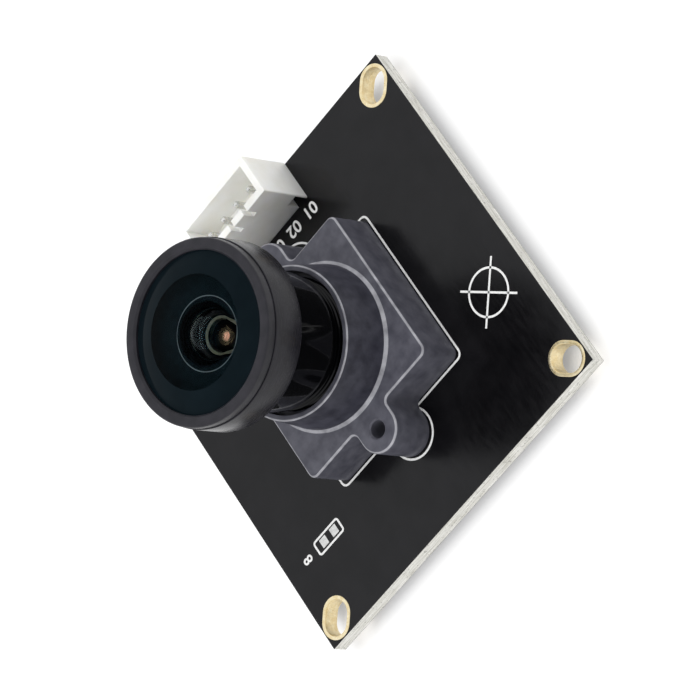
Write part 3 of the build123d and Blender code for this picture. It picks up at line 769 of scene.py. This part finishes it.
def thread_ridge():
    """The thread as one closed ridge wound on the tail, which fades out at both ends."""
    steps = 96
    fade_steps = 12
    foot_half = 0.42 * thread_pitch
    crest_half = 0.06 * thread_pitch
    first = barrel_back + 0.35
    last = neck_back - 0.15
    count = ceil(((last - first) / thread_pitch - 1) * steps)
    sunk = 0.05
    foot = thread_radius - thread_depth - sunk
    loops = []
    for step in range(count + 1):
        angle = 2 * pi * step / steps
        height = first + thread_pitch / 2 + thread_pitch * step / steps
        fade = min(1, step / fade_steps, (count - step) / fade_steps)
        crest = foot + sunk + (thread_radius - foot - sunk) * fade
        section = (
            (foot, height - foot_half),
            (crest, height - crest_half),
            (crest, height + crest_half),
            (foot, height + foot_half),
        )
        loops.append([(r * cos(angle), r * sin(angle), z) for r, z in section])
    return skin(loops, close_ends=("first", "last"))


def on_head(radius, height):
    """True on the outside of the wide head."""
    return radius > neck_radius + 0.3 and height > head_back - 0.1


def inside_lens(radius, height):
    """True on the walls that face the glasses."""
    on_neck = neck_radius - 0.7 < radius < neck_radius + 0.2 and height < head_back
    return radius < glass_pocket + 0.01 and height > barrel_back + 0.1 and not on_neck


barrel_black = barrel_finish(
    "glossy black dyed neck", (0.0016, 0.0017, 0.0022), 0.06, 0.11, 0.001, Specular_IOR_Level=0.2
)
barrel_satin = barrel_finish(
    "satin black dyed head", (0.011, 0.0105, 0.014), 0.21, 0.3, Specular_IOR_Level=0.22
)
barrel_matt = barrel_finish(
    "matt black lens interior", (0.004, 0.004, 0.0045), 0.7, 0.85, Specular_IOR_Level=0.0
)
tail_radius = thread_radius - thread_depth
barrel = turned("turned_lens_barrel", [
    (lens_bore, barrel_back, 0.05),
    (tail_radius, barrel_back, 0.1),
    (tail_radius, neck_back, 0),
    (neck_radius, neck_back, 0.12),
    (neck_radius, head_back, 0.25),
    (head_radius, head_back, 0.35),
    (head_radius, head_front, 0.06),
    (skirt_pocket, head_front, 0),
    (skirt_pocket, skirt_seat, 0),
    (glass_pocket, skirt_seat, 0),
    (glass_pocket, glass_back, 0),
    (cone_mouth, glass_back, 0.1),
    (ring_pocket, ring_pocket_front, 0),
    (ring_pocket, ring_pocket_back, 0),
    (lens_bore, ring_pocket_back, 0),
    (lens_bore, second_back, 0),
    (shoulder, second_back, 0.05),
    (shoulder, shoulder_back, 0.05),
    (lens_bore, shoulder_back, 0),
], barrel_black, "black_anodised")
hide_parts("lens_barrel")
paint(barrel, barrel_satin, on_head)
paint(barrel, barrel_matt, inside_lens)
thread = new_piece("focus_thread", *thread_ridge(), "lens", barrel_black, "black_anodised", sharp=50)
print("focus_thread faces", len(thread.data.polygons))

# %% [markdown]
# The front ring screws into the head and its thin lip holds the large front glass,
# so that the glass starts right behind the ring's face. The ring has the same satin
# finish as the head, a bevel towards the glass and softly broken edges, which draw
# the thin light lines around the lens in the photograph.

# %% Front ring
def satin_finish():
    material, shader = new_material("satin grey aluminium", Specular_IOR_Level=0.26)
    place = place_in_mm(material)
    tone = noise(material, 1.2, 4, place)
    vary_colour(material, shader, tone, (0.01, 0.01, 0.013, 1), (0.019, 0.018, 0.023, 1))
    vary_gloss(material, shader, noise(material, 0.25, 3, place), 0.3, 0.42)
    add_bump(material, shader, noise(material, 0.1, 3, place), 0.006, 0.4)
    return material


ring_opening = 7.2
ring_skirt = 7.9
satin_grey = satin_finish()
front_ring = turned("satin_front_ring", [
    (ring_opening, glass_front, 0),
    (glass_pocket, glass_front, 0),
    (glass_pocket, skirt_seat, 0),
    (ring_skirt, skirt_seat, 0),
    (ring_skirt, head_front, 0),
    (ring_radius, head_front, 0.05),
    (ring_radius, ring_face, 0.22),
    (ring_opening + 0.2, ring_face, 0.08),
    (ring_opening, ring_face - 0.2, 0.05),
], satin_grey, "grey_anodised")
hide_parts("front_ring")

# %% [markdown]
# Lens glass is clear with a thin coating, so it reflects little, and what it does
# reflect is tinted. A dark lens interior does the rest. Each glass is a turned disc
# with two ground faces, which are parts of balls, so the true curvature gives the
# true reflections. The front glass is flat and blacked behind, around a small deep
# hollow, and the hollow's rim is what draws the two pale arcs in the photograph. Where
# only that black paint shows, the face is drawn as one glossy black.

# %% Glass elements
def glass_finish(name, tint, coat, index=1.52):
    """Clear glass. The coat is how much of bare glass's reflection is left, as a colour."""
    material, shader = new_material(name, Roughness=0.0, IOR=index, Transmission_Weight=1.0)
    shader.inputs["Base Color"].default_value = tint
    patches = spread(material, noise(material, 2.5, 2), 0.3, 0.7, 0, 1)
    thinner = [channel * 0.8 for channel in coat] + [1]
    thicker = [channel * 1.2 for channel in coat] + [1]
    connect(material, mix_colour(material, patches, thinner, thicker), shader.inputs["Specular Tint"])
    return material


def ground_face(rim, height, rise, steps=14):
    """Radii and heights of a ball's cap, from the axis out to its rim."""
    if rise == 0:
        return [(rim * step / steps, height) for step in range(1, steps + 1)]
    ball = (rim * rim + rise * rise) / (2 * abs(rise))
    side = 1 if rise > 0 else -1
    path = []
    for step in range(1, steps + 1):
        radius = rim * step / steps
        path.append((radius, height + rise - side * (ball - sqrt(ball * ball - radius * radius))))
    return path


seat_gap = 0.02
edge_break = 0.05


def ground_glass(name, radius, back, edge, back_cap, front_cap, material, bevel, bevel_paint):
    """A glass with a blacked edge, a hair clear of its seat. Each cap is (rim radius, rise towards +Z)."""
    radius -= seat_gap
    back += seat_gap
    edge -= seat_gap
    front = back + edge
    down = ground_face(back_cap[0], back, back_cap[1])
    up = ground_face(front_cap[0], front, front_cap[1])
    profile = down + [(back_cap[0] + bevel, back), (radius - edge_break, back)]
    profile += [(radius, back + edge_break), (radius, front - edge_break)]
    profile += [(radius - edge_break, front)] + list(reversed(up))
    steps = 128
    loops = [circle(r, z, steps) for r, z in profile]
    points, faces = skin(loops)
    points += [(0, 0, back + back_cap[1]), (0, 0, front + front_cap[1])]
    bottom, top = len(points) - 2, len(points) - 1
    last_ring = (len(loops) - 1) * steps
    for step in range(steps):
        following = (step + 1) % steps
        faces.append((bottom, following, step))
        faces.append((top, last_ring + step, last_ring + following))
    piece = new_piece(name, points, faces, "lens", material, "coated_glass", sharp=30)
    clear = max(back_cap[0], front_cap[0])
    paint(piece, edge_paint, lambda r, z: r > clear or (r > back_cap[0] and z < back + edge / 2))
    paint(piece, bevel_paint, lambda r, z: back_cap[0] < r < back_cap[0] + bevel and z < back + 0.01)
    print(name, "faces", len(faces))
    return piece


edge_paint = plain_finish(
    "black paint on the glass edge", (0.0045, 0.009, 0.012), 0.6, 0.1, 0.001, Specular_IOR_Level=0.0
)
ground_bevel = plain_finish("ground bevel of the hollow", (0.05, 0.065, 0.08), 0.6, 0.05)
ground_shoulder = plain_finish("ground shoulder of the second glass", (0.72, 0.66, 0.54), 0.6, 0.05)
front_coat = glass_finish("coated front glass", (0.9, 1.0, 0.98, 1), (0.01, 0.05, 0.08))
clear_radius = 7.1
front_glass = ground_glass(
    "ground_front_glass", high("front_glass").x, glass_back, glass_front - glass_back,
    back_cap=(3.05, 2.2), front_cap=(clear_radius, 1.3),
    material=front_coat, bevel=0.07, bevel_paint=ground_bevel,
)
rim_start = 5.0
rim_black = plain_finish(
    "clear glass over black paint", (0.004, 0.0075, 0.01), 0.05, 0.5, 0.0, Specular_IOR_Level=0.03
)
rim_black.node_tree.nodes["Principled BSDF"].inputs["Specular Tint"].default_value = (0.6, 0.9, 1.0, 1)
paint(front_glass, rim_black, lambda r, z: rim_start < r < clear_radius and z > glass_front)
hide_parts("front_glass")
second_coat = glass_finish("amber coated glass", (1.0, 0.97, 0.9, 1), (0.5, 0.32, 0.2))
second_glass = ground_glass(
    "ground_second_glass", high("second_glass").x, second_back, edge=1.2,
    back_cap=(3.0, 0.6), front_cap=(3.85, 0.5),
    material=second_coat, bevel=0.7, bevel_paint=ground_shoulder,
)
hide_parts("second_glass")
inner_coat = glass_finish("clear inner glass", (1.0, 0.98, 0.97, 1), (0.83, 0.3, 0.25), 2.4)
for node in ("third_glass", "pair_front_glass", "pair_rear_glass", "sensor_glass"):
    dress(node, inner_coat)

# %% [markdown]
# Behind the front glass a black ring keeps the second glass in its seat. The spacers,
# the stop and the other glasses behind it show only as faint rings and a warm spot in
# the depth of the lens, so they keep their solids and only get their finishes.

# %% Inner ring and the stack behind it
inner_radius = high("inner_ring").x
inner_opening = 3.95
inner_mouth = 4.45
inner_slope = 0.5
inner_ring = turned("bevelled_inner_ring", [
    (inner_opening, ring_pocket_back, 0),
    (inner_radius, ring_pocket_back, 0),
    (inner_radius, ring_pocket_front, 0.08),
    (inner_mouth, ring_pocket_front, 0.06),
    (inner_opening, ring_pocket_front - inner_slope, 0.06),
], barrel_satin, "black_anodised")
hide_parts("inner_ring")

stop_black = plain_finish("matt black stop", (0.005, 0.005, 0.005), 0.8, 0.05, Specular_IOR_Level=0.0)
dress("front_spacer", plain_finish("blasted nickel spacer", (0.8, 0.74, 0.6), 0.3, 0.06, Metallic=1.0))
for node in ("rear_spacer", "rear_retainer", "aperture_stop"):
    dress(node, stop_black)
filter_coat = glass_finish("filter glass", (0.7, 0.95, 1.0, 1), (0.83, 0.3, 0.25))
dress("infrared_filter", filter_coat)
dress("sensor_package", plain_finish("sensor ceramic", (0.1, 0.1, 0.1), 0.6, 0.1))
dress("sensor_die", plain_finish("silicon", (0.08, 0.1, 0.13), 0.15, 0.3, 0.001))

# %% [markdown]
# The header is moulded nylon, so its edges are soft and its light goes a little way
# into it. A copy of the solid gets its doubled points merged and its flat triangles
# dissolved, and then a bevel rounds every edge. The same helper serves the chips.

# %% Soft-edged copies of the solids
def soft_edged(name, node, body, material, width, segments=2):
    """A copy of a solid with its edges rounded by this many millimetres."""
    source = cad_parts[node]
    piece = add_object(name, source.data.copy())
    piece.data.materials.clear()
    piece.data.materials.append(material)
    weld = piece.modifiers.new("weld", "WELD")
    weld.merge_threshold = 0.002 * MM
    flat = piece.modifiers.new("flat", "DECIMATE")
    flat.decimate_type = "DISSOLVE"
    flat.angle_limit = radians(2)
    bevel = piece.modifiers.new("bevel", "BEVEL")
    bevel.width = width * MM
    bevel.segments = segments
    bevel.limit_method = "ANGLE"
    bevel.angle_limit = radians(40)
    bevel.use_clamp_overlap = True
    bake(piece, sharp=50)
    piece.data.name = name
    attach(piece, body)
    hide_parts(node)
    print(name, "faces", len(piece.data.polygons))


def nylon_finish():
    material, shader = new_material(
        "cream nylon", Roughness=0.42, Subsurface_Weight=0.25, Subsurface_Scale=0.6 * MM
    )
    place = place_in_mm(material)
    tone = noise(material, 2.0, 3, place)
    vary_colour(material, shader, tone, (0.87, 0.86, 0.81, 1), (0.94, 0.94, 0.92, 1))
    shader.inputs["Subsurface Radius"].default_value = (1.0, 0.9, 0.7)
    add_bump(material, shader, noise(material, 0.2, 2, place), 0.01, 0.4)
    return material


nylon = nylon_finish()
soft_edged("moulded_header", "header_housing", "module", nylon, 0.1)
tin = plain_finish("bright tin", (0.72, 0.72, 0.7), 0.28, 0.08, 0.004, Metallic=1.0)
soft_edged("tinned_header_pins", "header_pins", "module", tin, 0.03)

# %% [markdown]
# The back of the board carries what such a module needs: a controller in a square
# chip, flash memory, regulators, a crystal, an inductor and rows of chip parts. The
# finishes are moulded epoxy, tinned copper, fired ceramic, drawn steel and ferrite.

# %% Parts on the back of the board
epoxy = plain_finish("moulded epoxy", (0.03, 0.03, 0.032), 0.5, 0.06, 0.008)
tan_ceramic = plain_finish("tan ceramic", (0.42, 0.3, 0.19), 0.45, 0.1, 0.004)
black_glaze = plain_finish("black glaze", (0.02, 0.02, 0.022), 0.25, 0.1, 0.003)
lid_steel = plain_finish("drawn steel lid", (0.62, 0.61, 0.57), 0.3, 0.15, 0.004, Metallic=1.0)
ferrite = plain_finish("ferrite", (0.07, 0.07, 0.075), 0.5, 0.12, 0.01)
screw_steel = plain_finish("zinc-plated steel", (0.56, 0.57, 0.6), 0.32, 0.1, 0.004, Metallic=1.0)
soft_parts = (
    ("epoxy_controller", "controller_chip", epoxy, "chip_epoxy", 0.06, 2),
    ("epoxy_flash", "flash_chip", epoxy, "chip_epoxy", 0.06, 2),
    ("epoxy_regulators", "regulator_chips", epoxy, "chip_epoxy", 0.05, 2),
    ("formed_controller_leads", "controller_leads", tin, "tinned_metal", 0.03, 1),
    ("formed_flash_leads", "flash_leads", tin, "tinned_metal", 0.03, 1),
    ("formed_regulator_leads", "regulator_leads", tin, "tinned_metal", 0.03, 1),
    ("sealed_crystal", "crystal", lid_steel, "crystal_lid", 0.05, 2),
    ("pressed_inductor_core", "inductor_core", ferrite, "ferrite", 0.08, 2),
    ("fired_capacitors", "chip_capacitors", tan_ceramic, "capacitor_ceramic", 0.04, 2),
    ("glazed_resistors", "chip_resistors", black_glaze, "resistor_ceramic", 0.03, 2),
    ("tinned_end_caps", "chip_end_caps", tin, "tinned_metal", 0.06, 2),
)
for name, node, material, slot, width, segments in soft_parts:
    soft_edged(name, node, "module", material, width, segments)
dress("inductor_winding", plain_finish("enamelled copper", (0.5, 0.2, 0.09), 0.3, 0.1, 0.02, Metallic=1.0))
dress("header_solder", tin)
dress("front_pads", tin)

# %% [markdown]
# Two screws hold the holder from behind. Their heads are pressed, so the rim is round
# and a cross is sunk in the face. The plain shank stands for the thread, as in the
# solid. The cross is a tapered plug that is cut out of each head.

# %% Holder screws
screw_face = low("holder_screws").z
screw_tip = high("holder_screws").z
screw_head = high("holder_screws").x
screw_dome = 0.6
cross_reach = 1.0
cross_width = 0.22
cross_depth = 0.7
cross_wide = 1.1
cross_narrow = 0.7
screw_points = [point.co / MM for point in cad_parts["holder_screws"].data.vertices]
shank_points = [point for point in screw_points if point.z > board_front]
shank_radius = max(hypot(point.x, abs(point.y) - ear_centre) for point in shank_points)


def cross_cutter(centre_y, turn):
    """A tapered plug with a cross for its outline."""
    loops = []
    ends = ((screw_face - 0.3, cross_wide), (screw_face + cross_depth, cross_narrow))
    for height, size in ends:
        reach, half = cross_reach * size, cross_width * size
        corner = ((half, -reach), (half, -half), (reach, -half))
        loop = []
        for quarter in range(4):
            angle = turn + quarter * pi / 2
            for x, y in corner:
                across = x * cos(angle) - y * sin(angle)
                along = x * sin(angle) + y * cos(angle)
                loop.append((across, centre_y + along, height))
        loops.append(loop)
    return new_cutter(loops)


screw_profile = rounded([
    (0.4, screw_face, 0),
    (screw_head, screw_face, screw_dome),
    (screw_head, -0.01, 0.08),
    (shank_radius, -0.01, 0),
    (shank_radius, screw_tip, 0.15),
    (0.2, screw_tip, 0),
], 6, closed=False)
screws = ([], [])
for ear_y in (-ear_centre, ear_centre):
    loops = [circle(point.x, point.y, 64, ear_y) for point in screw_profile]
    add_shape(screws, *skin(loops, close_ends=("first", "last")))
pan_screws = new_piece("pan_head_screws", *screws, "module", screw_steel, "screw_steel")
for ear_y, turn in ((-ear_centre, 0.3), (ear_centre, 1.1)):
    cut(pan_screws, cross_cutter(ear_y, turn))
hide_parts("holder_screws")
print("pan_head_screws faces", len(pan_screws.data.polygons), "shank radius", round(shank_radius, 2))

# %% [markdown]
# The board's print is white ink, a hundredth of a millimetre thick. Each line is a
# flat ribbon that follows a path, so that its ends and corners stay crisp. Where the
# real board has words or a sign, this one has plain numbers and a plain target mark.

# %% White print on the front
ink_thickness = 0.015
line_width = 0.2


def ink_finish():
    material, shader = new_material("white board ink", Roughness=0.55)
    place = place_in_mm(material)
    tone = noise(material, 0.15, 3, place)
    vary_colour(material, shader, tone, (0.68, 0.68, 0.67, 1), (0.86, 0.86, 0.85, 1))
    add_bump(material, shader, noise(material, 0.1, 2, place), 0.004, 0.5)
    return material


def ribbon(path, width, closed, base):
    """A flat printed line along a path, on the face at this height."""
    loops = []
    count = len(path)
    for index, point in enumerate(path):
        before = path[index - 1] if closed or index else point
        after = path[(index + 1) % count] if closed or index < count - 1 else point
        along = (Vector(after) - Vector(before)).normalized()
        off = Vector((-along.y, along.x)) * width / 2
        left = Vector(point) + off
        right = Vector(point) - off
        top = base + ink_thickness
        around = ((left, base), (right, base), (right, top), (left, top))
        loops.append([(side.x, side.y, height) for side, height in around])
    return skin(loops, wrap=closed, close_ends=() if closed else ("first", "last"))


white_ink = ink_finish()
outline_gap = 0.25
outline_corner = 0.6
ear_line_radius = 2.35
ear_line_shift = 0.15
print_centre = ear_centre + 0.25


def holder_print():
    """The line around the holder: a square with an arc around each ear."""
    side = block_half + outline_gap
    ear = ear_line_radius
    root = sqrt(ear * ear - (print_centre - side) ** 2) if print_centre - side < ear else 0
    first = atan2(side - print_centre, root)
    signs = ((1, -1), (1, 1), (-1, 1), (-1, -1))
    path = rounded([(x * side, y * side, outline_corner) for x, y in signs], 5)
    ears = []
    for sign in (1, -1):
        sweep = [first + (pi - 2 * first) * step / 24 for step in range(25)]
        ears.append([
            Vector((ear * cos(angle) - ear_line_shift, sign * (print_centre + ear * sin(angle))))
            for angle in sweep
        ])
    return path, ears


front_print = ([], [])
square_path, ear_paths = holder_print()
add_shape(front_print, *ribbon(square_path, line_width, True, board_front))
for ear_path in ear_paths:
    add_shape(front_print, *ribbon(ear_path, line_width, False, board_front))

place_left, place_right = 11.25, 14.75
place_bottom, place_top = 10.1, 11.5
place_round = 0.25
place_outline = rounded([
    (place_left, place_bottom, place_round),
    (place_right, place_bottom, place_round),
    (place_right, place_top, place_round),
    (place_left, place_top, place_round),
], 6)
add_shape(front_print, *ribbon(place_outline, line_width, True, board_front))

mark_centre = Vector((-14.5, 6.6))
mark_radius = 2.2
mark_arm = 3.2
ring_path = [mark_centre + Vector((x, y)) for x, y, _ in circle(mark_radius, 0, 48)]
add_shape(front_print, *ribbon(ring_path, line_width, True, board_front))
for direction in (Vector((1, 1)).normalized(), Vector((1, -1)).normalized()):
    arm = [mark_centre - mark_arm * direction, mark_centre + mark_arm * direction]
    add_shape(front_print, *ribbon(arm, line_width, False, board_front))
board_print = new_piece("white_board_print", *front_print, "module", white_ink, "header_nylon", sharp=30)
print("white_board_print faces", len(board_print.data.polygons))


def number(name, text, x, y, size, turn=0.0):
    """A plain printed number, centred at a point of the front face."""
    curve = bpy.data.curves.new(name, "FONT")
    curve.body = text
    curve.size = size * MM
    curve.align_x = "CENTER"
    curve.align_y = "CENTER"
    curve.extrude = ink_thickness / 2 * MM
    curve.offset = 0.02 * size * MM
    words = add_object(name, curve)
    words.location = (x * MM, y * MM, (board_front + ink_thickness / 2) * MM)
    words.rotation_euler = (0, 0, radians(turn))
    mesh = made_mesh(words)
    mesh.transform(words.matrix_world)
    bpy.data.objects.remove(words)
    mesh.materials.clear()
    mesh.materials.append(white_ink)
    piece = add_object(name, mesh)
    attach(piece, "module")


for index, label_x in enumerate((-4.4, -1.9, 0.6, 3.1)):
    number(f"pin_number_{index + 1}", f"0{index + 1}", x=label_x, y=-13.6, size=1.7)
number("place_number", "8", x=16.1, y=10.8, size=1.5, turn=-90)
